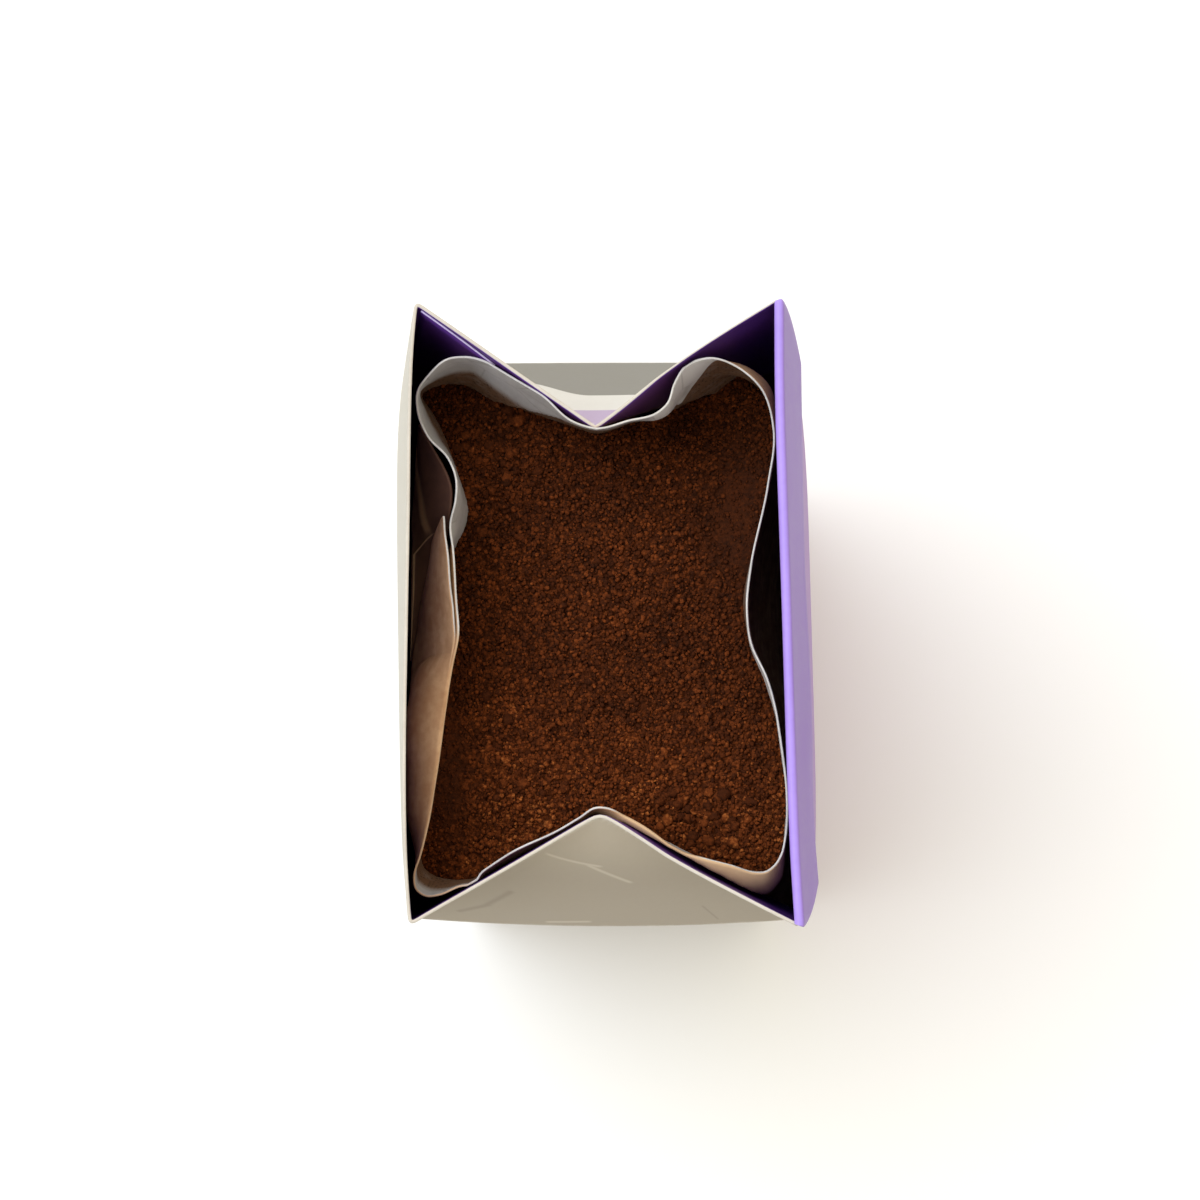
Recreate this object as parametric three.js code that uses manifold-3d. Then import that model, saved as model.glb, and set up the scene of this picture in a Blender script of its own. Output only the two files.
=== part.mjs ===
// An opened gable-top carton with its paper bag and ground coffee, in millimetres.
// X runs across the carton, Y along its long panels (+Y is the photograph's top), +Z is up.
import * as THREE from 'three';
import { mergeVertices } from 'three/addons/utils/BufferGeometryUtils.js';
import Module from 'manifold-3d';

const wasm = await Module();
wasm.setup();

// Folded board
const bodyLength = 85;
const bodyWidth = 60;
const cartonHeight = 175;
const board = 0.45;
const roofRise = 45;
const bodySkew = -0.02;
const bodyBulge = 1.6;
const bulgeRise = 60;
const endBulge = 0.9;
const rimBow = 0.9;
const bowPower = 5;

// Fold and flap turned outward along the east rim
const foldRadius = 0.3;
const flapLength = 15;
const flapFlare = THREE.MathUtils.degToRad(12);
const flapTaper = 5;

// Glue ply inside the north-west arm of the rim
const plyLength = 12;
const plyDepth = 34;
const plyStandOff = 0.5;
const plyAngle = THREE.MathUtils.degToRad(118);

// Paper bag and coffee
const paper = 0.35;
const bagClearance = 0.8;
const plyClearance = 1.0;
const cornerPower = 8;
const mouthBlend = 30;
const coffeeGap = 0.3;
const coffeeDrop = 26;
const grainRelief = 0.55;
const reliefStep = 1.75;

const rimHeight = cartonHeight - foldRadius - board;
const shoulderHeight = rimHeight - roofRise;
const point = (x, y, z) => new THREE.Vector3(x, y, z);

// Rim corners and the two tips where the short sides fold in
const rim = {
  northWest: point(-25.4, 42.4, rimHeight),
  northEast: point(24.6, 42.6, rimHeight),
  southEast: point(26.7, -42.3, rimHeight),
  southWest: point(-25.6, -42.7, rimHeight),
};
const northTip = point(-0.6, 25.6, rimHeight - 3.2);
const southTip = point(-0.1, -27.9, rimHeight - 2.4);

// Bag mouth, anticlockwise from its west side: x, y and how far it lies below the rim
const mouth = [
  [-25.8, 28.4, 7], [-24.3, 24.8, 8], [-21.6, 21.9, 8], [-20.5, 19.1, 8], [-20.4, 16.2, 8],
  [-21.2, 12.5, 9], [-20.9, 9.3, 9], [-20.4, 2.1, 9], [-20.1, -2.5, 9], [-21.6, -8.1, 10],
  [-22.2, -14.8, 10], [-22.9, -22, 10], [-24.1, -30.1, 10], [-25.8, -35.8, 9], [-25.7, -38, 8],
  [-23.6, -38.9, 8], [-18.7, -37.7, 7], [-15.9, -35.5, 7], [-13.2, -33.6, 7], [-3.8, -29.8, 6],
  [-0.3, -27.1, 4], [6.5, -30.1, 5], [12.6, -33.6, 6], [18.5, -34.9, 7], [21.9, -35.8, 8],
  [24.1, -35.1, 8], [25.5, -31.4, 8], [25.7, -24.8, 8], [25.1, -18.8, 8], [23.2, -9.2, 8],
  [20.9, -3.6, 9], [20.4, 1.2, 9], [21, 6.9, 9], [23.4, 18, 8], [24.2, 25.6, 7], [22.4, 31.2, 5],
  [18.9, 34.2, 4], [14.8, 35.2, 3], [11.8, 34.2, 3], [10.1, 31.6, 3], [9.1, 28.8, 3],
  [7.9, 27.7, 3], [3.8, 26.1, 3], [-0.7, 24.8, 2.5], [-3.9, 25.9, 3], [-7.9, 29.7, 3],
  [-14, 34, 3], [-18.8, 35.7, 4], [-21.5, 35.3, 4], [-24.1, 33.3, 5], [-25.7, 31.3, 6],
];

function bodyCorner(sideX, sideY, z) {
  const y = sideY * bodyLength / 2;
  return point(sideX * bodyWidth / 2 + bodySkew * y, y, z);
}

const shoulder = {
  northWest: bodyCorner(-1, 1, shoulderHeight),
  northEast: bodyCorner(1, 1, shoulderHeight),
  southEast: bodyCorner(1, -1, shoulderHeight),
  southWest: bodyCorner(-1, -1, shoulderHeight),
};

function mix(a, b, t) {
  return a.clone().lerp(b, t);
}

// Outward bow of a long panel: full at mid height and at the shoulder, less at base and rim
function longBulge(side, z) {
  if (z < shoulderHeight) return bodyBulge * Math.sin(Math.PI / 2 * Math.min(1, z / bulgeRise));
  const t = (z - shoulderHeight) / roofRise;
  return THREE.MathUtils.lerp(bodyBulge, side < 0 ? rimBow : 0, t * t);
}

function longPanelPoint(side, along, z) {
  const t = Math.max(0, (z - shoulderHeight) / roofRise);
  const names = side > 0 ? ['southEast', 'northEast'] : ['southWest', 'northWest'];
  const ends = names.map((name, i) => {
    const foot = bodyCorner(side, i ? 1 : -1, z);
    return t > 0 ? mix(shoulder[name], rim[name], t) : foot;
  });
  const p = mix(ends[0], ends[1], (along + 1) / 2);
  p.x += side * longBulge(side, z) * (1 - Math.pow(Math.abs(along), bowPower));
  return p;
}

// A short side above its shoulder crease: one flat middle triangle and two that turn in
function gussetPoint(side, across, t) {
  const [left, right] = side > 0 ? ['northWest', 'northEast'] : ['southWest', 'southEast'];
  const tip = side > 0 ? northTip : southTip;
  const share = [];
  if (Math.abs(across) <= 1 - t + 1e-9) {
    share.push([shoulder[left], (1 - t - across) / 2], [shoulder[right], (1 - t + across) / 2], [tip, t]);
  } else {
    const name = across > 0 ? right : left;
    const s = Math.abs(across);
    share.push([shoulder[name], 1 - t], [rim[name], s + t - 1], [tip, 1 - s]);
  }
  return share.reduce((sum, [corner, weight]) => sum.addScaledVector(corner, weight), point(0, 0, 0));
}

function shortBodyPoint(side, across, z) {
  const p = mix(bodyCorner(-1, side, z), bodyCorner(1, side, z), (across + 1) / 2);
  const rise = Math.sin(Math.PI * z / shoulderHeight);
  p.y += side * endBulge * rise * (1 - Math.pow(Math.abs(across), 3));
  return p;
}

// Turns an open sheet, given by its outer face, into a closed solid of even thickness
function thicken(vertices, faces, thickness) {
  const normals = faces.map(([a, b, c]) => {
    const ab = vertices[b].clone().sub(vertices[a]);
    return ab.cross(vertices[c].clone().sub(vertices[a])).normalize();
  });
  const around = vertices.map(() => []);
  faces.forEach((face, i) => face.forEach((v) => around[v].push(normals[i])));
  const inner = vertices.map((v, i) => v.clone().sub(mitre(around[i], thickness)));
  return closeSheets(vertices, inner, faces);
}

// Joins a sheet and its copy behind it, point for point, round their open edges
function closeSheets(front, back, faces) {
  const count = front.length;
  const all = [...faces, ...faces.map(([a, b, c]) => [a + count, c + count, b + count])];
  const edges = new Set(faces.flatMap(([a, b, c]) => [`${a},${b}`, `${b},${c}`, `${c},${a}`]));
  for (const edge of edges) {
    const [a, b] = edge.split(',').map(Number);
    if (edges.has(`${b},${a}`)) continue;
    all.push([b, a, a + count], [b, a + count, b + count]);
  }
  return solid([...front, ...back], all);
}

// The offset that moves every plane round a vertex by the same thickness
function mitre(normals, thickness) {
  const m = new THREE.Matrix3().set(1e-4, 0, 0, 0, 1e-4, 0, 0, 0, 1e-4);
  const e = m.elements;
  const sum = point(0, 0, 0);
  for (const n of normals) {
    const c = n.toArray();
    for (let row = 0; row < 3; row++) for (let col = 0; col < 3; col++) e[col * 3 + row] += c[row] * c[col];
    sum.addScaledVector(n, thickness);
  }
  return sum.applyMatrix3(m.invert()).clampLength(0, 3 * thickness);
}

function solid(vertices, faces) {
  const geometry = new THREE.BufferGeometry();
  geometry.setAttribute('position', new THREE.Float32BufferAttribute(vertices.flatMap((v) => v.toArray()), 3));
  geometry.setIndex(faces.flat());
  return toManifold(geometry);
}

function toManifold(geometry) {
  const bare = geometry.clone();
  bare.deleteAttribute('normal');
  bare.deleteAttribute('uv');
  const merged = mergeVertices(bare, 1e-5);
  return new wasm.Manifold(new wasm.Mesh({
    numProp: 3,
    vertProperties: new Float32Array(merged.attributes.position.array),
    triVerts: new Uint32Array(merged.index.array),
  }));
}

function toMesh(name, manifold, color, roughness) {
  const mesh = manifold.getMesh();
  const geometry = new THREE.BufferGeometry();
  geometry.setAttribute('position', new THREE.BufferAttribute(mesh.vertProperties, 3));
  geometry.setIndex(new THREE.BufferAttribute(mesh.triVerts, 1));
  const flat = geometry.toNonIndexed();
  flat.computeVertexNormals();
  const material = new THREE.MeshStandardMaterial({ color, roughness, metalness: 0 });
  const result = new THREE.Mesh(flat, material);
  result.name = name;
  return result;
}

// Rows of points become faces; a closed row joins its end to its start
function quadFaces(rows, columns, index, closed) {
  const faces = [];
  for (let row = 0; row + 1 < rows; row++) {
    for (let column = 0; column < columns - (closed ? 0 : 1); column++) {
      const next = (column + 1) % columns;
      const [a, b, c, d] = [index(row, column), index(row, next), index(row + 1, next), index(row + 1, column)];
      faces.push([a, b, c, d]);
    }
  }
  return faces;
}

function splitQuad([a, b, c, d], leaning) {
  return leaning ? [[a, b, d], [b, c, d]] : [[a, b, c], [a, c, d]];
}

function makeCarton() {
  const half = 8;
  const long = 12;
  const bodyLevels = [0, 0.04, 0.12, 0.25, 0.42, 0.6, 0.8];
  const vertices = [];
  const ring = (z, t) => {
    const points = [];
    for (let i = 0; i < 2 * half; i++) {
      const across = i / half - 1;
      points.push(t === null ? shortBodyPoint(-1, across, z) : gussetPoint(-1, across, t));
    }
    for (let i = 0; i < long; i++) points.push(longPanelPoint(1, 2 * i / long - 1, z));
    for (let i = 0; i < 2 * half; i++) {
      const across = 1 - i / half;
      points.push(t === null ? shortBodyPoint(1, across, z) : gussetPoint(1, across, t));
    }
    for (let i = 0; i < long; i++) points.push(longPanelPoint(-1, 1 - 2 * i / long, z));
    return points;
  };
  for (const level of bodyLevels) vertices.push(...ring(level * shoulderHeight, null));
  for (let i = 0; i <= half; i++) vertices.push(...ring(shoulderHeight + roofRise * i / half, i / half));

  const columns = 4 * half + 2 * long;
  const rows = bodyLevels.length + half + 1;
  const at = (row, column) => row * columns + column;
  const faces = quadFaces(rows, columns, at, true).flatMap((quad, i) => {
    const column = i % columns;
    const inSouth = column < 2 * half;
    const inNorth = column >= 2 * half + long && column < 4 * half + long;
    const place = inSouth ? column : column - 2 * half - long;
    return splitQuad(quad, (inSouth || inNorth) && place >= half);
  });
  const centre = vertices.push(point(0, 0, 0)) - 1;
  for (let i = 0; i < columns; i++) faces.push([centre, (i + 1) % columns, i]);

  // The east rim rolls outward and hangs as a tapered flap
  const top = rows - 1;
  const strip = Array.from({ length: long + 1 }, (_, i) => at(top, 2 * half + i));
  const arcSteps = 5;
  const flapSteps = 3;
  const first = vertices.length;
  for (let step = 1; step <= arcSteps + flapSteps; step++) {
    const turn = Math.min(1, step / arcSteps);
    const angle = Math.PI - turn * (Math.PI - flapFlare);
    const hang = Math.max(0, (step - arcSteps) / flapSteps);
    for (let i = 0; i <= long; i++) {
      const p = vertices[strip[i]].clone();
      p.x += foldRadius * (1 + Math.cos(angle)) + hang * flapLength * Math.sin(flapFlare);
      p.z += foldRadius * Math.sin(angle) - hang * flapLength * Math.cos(flapFlare);
      const end = 2 * i / long - 1;
      p.y -= end * flapTaper * Math.pow(hang, end > 0 ? 1 : 1.6);
      vertices.push(p);
    }
  }
  const flapIndex = (row, i) => (row === 0 ? strip[i] : first + (row - 1) * (long + 1) + i);
  faces.push(...quadFaces(arcSteps + flapSteps + 1, long + 1, flapIndex, false).flatMap((q) => splitQuad(q, false)));
  return thicken(vertices, faces, board).add(makeGluePly());
}

// The side seam's ply: a flap glued at the corner, standing off the arm at its free end
function makeGluePly() {
  const along = northTip.clone().sub(rim.northWest).normalize();
  const down = shoulder.northWest.clone().sub(rim.northWest).normalize();
  const inward = down.clone().cross(along).normalize();
  const shape = new THREE.Shape([
    new THREE.Vector2(0.4, 1.2), new THREE.Vector2(plyLength, 0.6),
    new THREE.Vector2(plyLength - 3, plyDepth), new THREE.Vector2(0.4, plyDepth + 3),
  ]);
  const plate = new THREE.ExtrudeGeometry(shape, { depth: board, bevelEnabled: false });
  const swing = plyStandOff / plyLength;
  const position = plate.attributes.position;
  for (let i = 0; i < position.count; i++) {
    const [u, v, w] = [position.getX(i), position.getY(i), position.getZ(i)];
    const p = rim.northWest.clone().addScaledVector(along, u).addScaledVector(down, v);
    p.addScaledVector(inward, board * 1.6 - w + swing * u);
    position.setXYZ(i, p.x, p.y, p.z);
  }
  return toManifold(plate);
}

// The carton's outer section at a height, anticlockwise, with the long sides' bow
function cartonSection(z) {
  const bows = [-0.6, 0, 0.6];
  const points = [];
  const corner = (name, sideX, sideY) => {
    const t = (z - shoulderHeight) / roofRise;
    return t > 0 ? mix(shoulder[name], rim[name], t) : bodyCorner(sideX, sideY, z);
  };
  const notch = (tip, name) => {
    const t = (z - shoulderHeight) / (tip.z - shoulderHeight);
    return t > 0 ? [mix(shoulder[name], tip, Math.min(0.999, t))] : [];
  };
  points.push(corner('southWest', -1, -1), ...notch(southTip, 'southWest'), ...notch(southTip, 'southEast'));
  points.push(corner('southEast', 1, -1), ...bows.map((s) => longPanelPoint(1, s, z)));
  points.push(corner('northEast', 1, 1), ...notch(northTip, 'northEast'), ...notch(northTip, 'northWest'));
  points.push(corner('northWest', -1, 1), ...bows.map((s) => longPanelPoint(-1, -s, z)));
  return points.map((p) => new THREE.Vector2(p.x, p.y));
}

function insetPolygon(points, distance) {
  return points.map((p, i) => {
    const before = p.clone().sub(points.at(i - 1)).normalize();
    const after = points[(i + 1) % points.length].clone().sub(p).normalize();
    const n1 = new THREE.Vector2(-before.y, before.x);
    const n2 = new THREE.Vector2(-after.y, after.x);
    return p.clone().addScaledVector(n1.clone().add(n2), distance / Math.max(0.25, 1 + n1.dot(n2)));
  });
}

function rayRadius(polygon, angle) {
  const ray = new THREE.Vector2(Math.cos(angle), Math.sin(angle));
  let nearest = Infinity;
  polygon.forEach((a, i) => {
    const edge = polygon[(i + 1) % polygon.length].clone().sub(a);
    const cross = ray.cross(edge);
    if (Math.abs(cross) < 1e-9) return;
    const distance = a.cross(edge) / cross;
    const place = a.cross(ray) / cross;
    if (distance > 0 && place >= -1e-6 && place <= 1 + 1e-6) nearest = Math.min(nearest, distance);
  });
  return nearest;
}

// Rings of the bag from its mouth down, each a loop of points
function bagRings(columns) {
  const curve = new THREE.CatmullRomCurve3(mouth.map(([x, y, d]) => point(x, y, rimHeight - d)), true, 'centripetal');
  const brim = Array.from({ length: columns }, (_, i) => curve.getPointAt(i / columns));
  const depths = [0, 3, 6.5, 10.5, 15, 20, 25, 30, 36, 44, 58, 90, 130];
  const floor = board + coffeeGap;
  const rings = depths.map((depth) => brim.map((b) => {
    const angle = Math.atan2(b.y, b.x);
    const z = Math.max(floor + 2, b.z - depth);
    return ringPoint(b, angle, z, depth);
  }));
  rings.push(brim.map((b) => ringPoint(b, Math.atan2(b.y, b.x), floor, 150)));
  return rings;
}

function ringPoint(b, angle, z, depth) {
  const besidePly = Math.exp(-(((angle - plyAngle) / 0.16) ** 4));
  const clearance = board + bagClearance + (z > rimHeight - plyDepth - 8 ? plyClearance * besidePly : 0);
  const limit = rayRadius(insetPolygon(cartonSection(z), clearance), angle);
  const a = bodyWidth / 2 - board - bagClearance;
  const c = bodyLength / 2 - board - bagClearance;
  const rounded = Math.pow(
    Math.pow(Math.abs(Math.cos(angle)) / a, cornerPower) + Math.pow(Math.abs(Math.sin(angle)) / c, cornerPower),
    -1 / cornerPower,
  );
  const reach = mouthBlend + 14 * Math.max(0, Math.cos(angle));
  const open = THREE.MathUtils.smoothstep(depth / reach, 0, 1);
  const full = Math.min(limit, rounded) - 0.3;
  const radius = Math.min(limit, THREE.MathUtils.lerp(Math.hypot(b.x, b.y), full, open));
  return point(radius * Math.cos(angle), radius * Math.sin(angle), z);
}

// The same rings moved inward in the horizontal plane, and up at the floor
function lining(rings, distance) {
  return rings.map((ring, i) => {
    const lift = i === rings.length - 1 ? distance : 0;
    const flat = insetPolygon(ring.map((p) => new THREE.Vector2(p.x, p.y)), distance);
    return flat.map((p, k) => point(p.x, p.y, ring[k].z + lift));
  });
}

// Closes a stack of rings with a fan at the first and the last
function ringSolid(rings) {
  const columns = rings[0].length;
  const vertices = rings.flat();
  const at = (row, column) => row * columns + column;
  const faces = quadFaces(rings.length, columns, at, true).flatMap(([a, b, c, d]) => splitQuad([a, d, c, b], false));
  const centre = (loop) => loop.reduce((sum, p) => sum.add(p), point(0, 0, 0)).divideScalar(columns);
  const head = vertices.push(centre(rings[0])) - 1;
  const foot = vertices.push(centre(rings.at(-1))) - 1;
  for (let i = 0; i < columns; i++) {
    const next = (i + 1) % columns;
    faces.push([head, i, next], [foot, at(rings.length - 1, next), at(rings.length - 1, i)]);
  }
  return solid(vertices, faces);
}

function makeBag(rings) {
  const inside = lining(rings, paper);
  const columns = rings[0].length;
  const path = [...rings.slice().reverse(), ...inside];
  const vertices = path.flat();
  const at = (row, column) => row * columns + column;
  const faces = quadFaces(path.length, columns, at, true).flatMap((quad) => splitQuad(quad, false));
  const under = vertices.push(point(0, 0, rings.at(-1)[0].z)) - 1;
  const floor = vertices.push(point(0, 0, inside.at(-1)[0].z)) - 1;
  const last = path.length - 1;
  for (let i = 0; i < columns; i++) {
    const next = (i + 1) % columns;
    faces.push([under, next, i], [floor, at(last, i), at(last, next)]);
  }
  return solid(vertices, faces);
}

function seeded(seed) {
  let state = seed;
  return () => {
    state = (state * 1664525 + 1013904223) % 4294967296;
    return state / 4294967296;
  };
}

// Height of the coffee: a level top, a hollow at the north-east, slopes at two walls
function coffeeLevel(x, y) {
  const hump = (cx, cy, rx, ry, rise) => rise * Math.exp(-(((x - cx) / rx) ** 2) - (((y - cy) / ry) ** 2));
  let z = rimHeight - coffeeDrop + 0.9 * Math.sin(x * 0.16 + 1.1) * Math.cos(y * 0.11 - 0.4);
  z += hump(15, 30, 5, 5, -4) + hump(25, 15, 6, 14, 4.5) + hump(-25, -22, 6, 13, 4);
  z += hump(-14, -30, 7, 4, -2) + hump(2, 4, 14, 18, 1.2);
  return z;
}

function makeCoffee(rings) {
  const random = seeded(41);
  const nx = Math.round(bodyWidth / reliefStep);
  const ny = Math.round(bodyLength / reliefStep);
  const vertices = [];
  for (let j = 0; j <= ny; j++) {
    for (let i = 0; i <= nx; i++) {
      const x = (i / nx - 0.5) * (bodyWidth + 6) + (random() - 0.5) * 0.7;
      const y = (j / ny - 0.5) * (bodyLength + 6) + (random() - 0.5) * 0.7;
      vertices.push(point(x, y, coffeeLevel(x, y) + (random() - 0.5) * 2 * grainRelief));
    }
  }
  const at = (j, i) => j * (nx + 1) + i;
  const faces = quadFaces(ny + 1, nx + 1, at, false).flatMap((quad, k) => splitQuad(quad, k % 2 === 0));
  const block = closeSheets(vertices, vertices.map((v) => point(v.x, v.y, -1)), faces);
  return ringSolid(lining(rings, paper + coffeeGap)).intersect(block);
}

const rings = bagRings(90);
const pieces = [
  toMesh('carton', makeCarton(), 0xe7e0d4, 0.6),
  toMesh('inner_bag', makeBag(rings), 0x9c7353, 0.8),
  toMesh('ground_coffee', makeCoffee(rings), 0x4f260f, 0.95),
];

const group = new THREE.Group();
group.add(...pieces);

export default group;
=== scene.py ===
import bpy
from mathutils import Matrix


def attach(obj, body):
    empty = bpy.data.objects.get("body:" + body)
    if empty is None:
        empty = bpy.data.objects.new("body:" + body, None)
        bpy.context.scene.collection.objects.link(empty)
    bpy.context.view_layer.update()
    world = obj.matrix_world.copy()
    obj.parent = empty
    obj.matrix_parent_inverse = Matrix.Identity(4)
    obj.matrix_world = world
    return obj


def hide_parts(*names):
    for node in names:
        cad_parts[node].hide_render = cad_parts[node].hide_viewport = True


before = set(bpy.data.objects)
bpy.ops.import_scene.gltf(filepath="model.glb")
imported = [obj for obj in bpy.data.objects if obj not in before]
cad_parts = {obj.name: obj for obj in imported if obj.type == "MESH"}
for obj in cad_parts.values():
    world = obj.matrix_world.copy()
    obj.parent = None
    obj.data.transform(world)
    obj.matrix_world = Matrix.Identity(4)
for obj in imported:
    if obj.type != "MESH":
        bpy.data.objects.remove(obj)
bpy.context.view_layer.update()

import math
import random

import bmesh
import bpy
import numpy as np
from mathutils import Matrix, Vector, kdtree, noise

# An opened gable-top carton of ground coffee, seen from above. Sizes here are millimetres,
# meshes are metres: X is the photograph's right, Y its top, Z points to the camera.
mm = 0.001

view = {
    "place": (0.00531, -0.03675, 0.53492),
    "right": (0.99989, 0.0, -0.01491),
    "up": (0.001557, 0.99453, 0.1044),
    "back": (0.01483, -0.10441, 0.99442),
    "lens": 80.0, "sensor": 36.0, "nearest": 0.01,
}


def placeObject(name, data):
    item = bpy.data.objects.new(name, data)
    bpy.context.scene.collection.objects.link(item)
    return item


def placeCamera():
    data = bpy.data.cameras.new("camera")
    data.lens = view["lens"]
    data.sensor_width = view["sensor"]
    data.clip_start = view["nearest"]
    camera = placeObject("camera", data)
    axes = Matrix((view["right"], view["up"], view["back"])).transposed()
    camera.matrix_world = Matrix.Translation(view["place"]) @ axes.to_4x4()
    bpy.context.scene.camera = camera


placeCamera()
print("camera placed")


# Small helpers for nodes and meshes

def makeNode(tree, kind, inputs=None, **settings):
    node = tree.nodes.new(kind)
    for name, value in settings.items():
        setattr(node, name, value)
    for key, value in (inputs or {}).items():
        if isinstance(value, bpy.types.NodeSocket):
            tree.links.new(value, node.inputs[key])
        else:
            node.inputs[key].default_value = value
    return node


def calc(tree, operation, a, b=0.0, c=0.0, clamp=False):
    node = makeNode(tree, "ShaderNodeMath", {0: a, 1: b, 2: c}, operation=operation, use_clamp=clamp)
    return node.outputs[0]


def product(tree, first, *others):
    for other in others:
        first = calc(tree, "MULTIPLY", first, other)
    return first


def distanceBetween(tree, a, b):
    return calc(tree, "ABSOLUTE", calc(tree, "SUBTRACT", a, b))


def blendColours(tree, share, a, b, way="MIX"):
    node = makeNode(tree, "ShaderNodeMix", {0: share, 6: a, 7: b}, data_type="RGBA", blend_type=way)
    return node.outputs[2]


def stepBetween(tree, value, low, high):
    node = makeNode(tree, "ShaderNodeMapRange", {0: value, 1: low, 2: high}, interpolation_type="SMOOTHSTEP")
    return node.outputs[0]


def insideOf(tree, value, low, high, soft):
    # 1 between two values and 0 beyond them
    return product(tree, stepBetween(tree, value, low - soft, low + soft),
                   stepBetween(tree, value, high + soft, high - soft))


def noiseValue(tree, place, scale, detail=2.0, roughness=0.5):
    inputs = {"Vector": place, "Scale": scale, "Detail": detail, "Roughness": roughness}
    return makeNode(tree, "ShaderNodeTexNoise", inputs).outputs[0]


def colour(red, green, blue):
    # 0-255 display values to the linear ones that sockets hold
    shares = [c / 255 for c in (red, green, blue)]
    linear = [s / 12.92 if s <= 0.04045 else ((s + 0.055) / 1.055) ** 2.4 for s in shares]
    return (*linear, 1.0)


def newGroup(name, inputs, outputs):
    tree = bpy.data.node_groups.new(name, "ShaderNodeTree")
    for label, kind, value in inputs:
        socket = tree.interface.new_socket(label, in_out="INPUT", socket_type=kind)
        socket.default_value = value
    for label, kind in outputs:
        tree.interface.new_socket(label, in_out="OUTPUT", socket_type=kind)
    return tree, tree.nodes.new("NodeGroupInput"), tree.nodes.new("NodeGroupOutput")


def useGroup(tree, group, inputs=None):
    return makeNode(tree, "ShaderNodeGroup", inputs, node_tree=group)


def newMaterial(name, roughness, specular, **fixed):
    material = bpy.data.materials.new(name)
    material.use_nodes = True
    tree = material.node_tree
    shader = tree.nodes["Principled BSDF"]
    for label, value in {"Roughness": roughness, "Specular IOR Level": specular, **fixed}.items():
        shader.inputs[label].default_value = value
    return material, tree, shader


def addBump(tree, shader, height, strength, distance):
    bump = makeNode(tree, "ShaderNodeBump", {"Height": height, "Strength": strength, "Distance": distance})
    tree.links.new(bump.outputs[0], shader.inputs["Normal"])


def objectPlace(tree):
    return tree.nodes.new("ShaderNodeTexCoord").outputs["Object"]


def blankPlace(tree):
    # a place on the flat blank, in metres, that each sheet keeps as its UVs
    return makeNode(tree, "ShaderNodeUVMap", uv_map="blank").outputs[0]


def splitPlace(tree, place):
    return list(makeNode(tree, "ShaderNodeSeparateXYZ", {0: place}).outputs)


def attributeValue(tree, name):
    return makeNode(tree, "ShaderNodeAttribute", attribute_name=name).outputs["Fac"]


def placePiece(name, mesh, materials, node=None):
    for material in materials:
        mesh.materials.append(material)
    mesh.shade_smooth()
    piece = placeObject(name, mesh)
    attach(piece, "root")
    if node:
        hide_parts(node)
    print(name, len(mesh.polygons), "faces")
    return piece


def finishPiece(name, bm, materials, node=None):
    bmesh.ops.scale(bm, vec=(mm, mm, mm), verts=bm.verts)
    mesh = bpy.data.meshes.new(name)
    bm.to_mesh(mesh)
    bm.free()
    return placePiece(name, mesh, materials, node)


def addWall(piece, thickness, evenly=True):
    # the back of a sheet takes the next material, its cut edge the one after
    wall = piece.modifiers.new("wall", "SOLIDIFY")
    wall.thickness = thickness * mm
    wall.offset = -1
    wall.use_even_offset = evenly
    wall.material_offset = 1
    wall.material_offset_rim = 2
    return wall


def clamp01(value):
    return max(0.0, min(1.0, value))


def easeIn(value):
    value = clamp01(value)
    return value * value * (3 - 2 * value)


def peak(turn, degrees, spread, power):
    # 1 in one direction round the box and 0 away from it
    return math.exp(-((turn - math.radians(degrees)) / spread) ** power)


# Paper effects shared by the materials

def makePaperGrain():
    inputs = [("Fibre Size", "NodeSocketFloat", 900.0), ("Mottle Size", "NodeSocketFloat", 60.0)]
    outputs = [("Height", "NodeSocketFloat"), ("Tone", "NodeSocketFloat")]
    tree, given, result = newGroup("paperGrain", inputs, outputs)
    place = objectPlace(tree)
    stretched = makeNode(tree, "ShaderNodeMapping", {"Vector": place, "Scale": (1.0, 1.0, 0.35)}).outputs[0]
    fibres = noiseValue(tree, stretched, given.outputs["Fibre Size"], 4.0, 0.65)
    mottle = noiseValue(tree, place, given.outputs["Mottle Size"], 3.0, 0.6)
    tree.links.new(fibres, result.inputs["Height"])
    both = calc(tree, "MULTIPLY_ADD", fibres, 0.4, product(tree, mottle, 0.6))
    tree.links.new(both, result.inputs["Tone"])
    return tree


def makeCreaseWearAndHighlight():
    inputs = [("Colour", "NodeSocketColor", (1, 1, 1, 1)), ("WornAndLit", "NodeSocketColor", (1, 1, 1, 1)),
              ("Amount", "NodeSocketFloat", 0.5)]
    tree, given, result = newGroup("creaseWearAndHighlight", inputs, [("Colour", "NodeSocketColor")])
    crease = attributeValue(tree, "crease")
    flecks = noiseValue(tree, objectPlace(tree), 500.0, 4.0, 0.65)
    broken = stepBetween(tree, calc(tree, "ADD", flecks, product(tree, crease, 0.3)), 0.4, 1.1)
    # paler along the creases: worn print, and a painted highlight where the folds catch the light
    share = product(tree, broken, crease, given.outputs["Amount"])
    wornAndLit = blendColours(tree, share, given.outputs["Colour"], given.outputs["WornAndLit"])
    tree.links.new(wornAndLit, result.inputs["Colour"])
    return tree


paperGrain = makePaperGrain()
creaseWearAndHighlight = makeCreaseWearAndHighlight()


def newPaper(name, surface, fibres, mottles, low, bump=None, **fixed):
    # a paper material, its grain, and a 0-1 tone from it to blend two colours by
    material, tree, shader = newMaterial(name, *surface, **fixed)
    grain = useGroup(tree, paperGrain, {"Fibre Size": fibres, "Mottle Size": mottles})
    if bump:
        addBump(tree, shader, grain.outputs["Height"], *bump)
    return material, tree, shader, grain, stepBetween(tree, grain.outputs["Tone"], low, 1 - low)


# Carton: one folded blank of board

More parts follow.
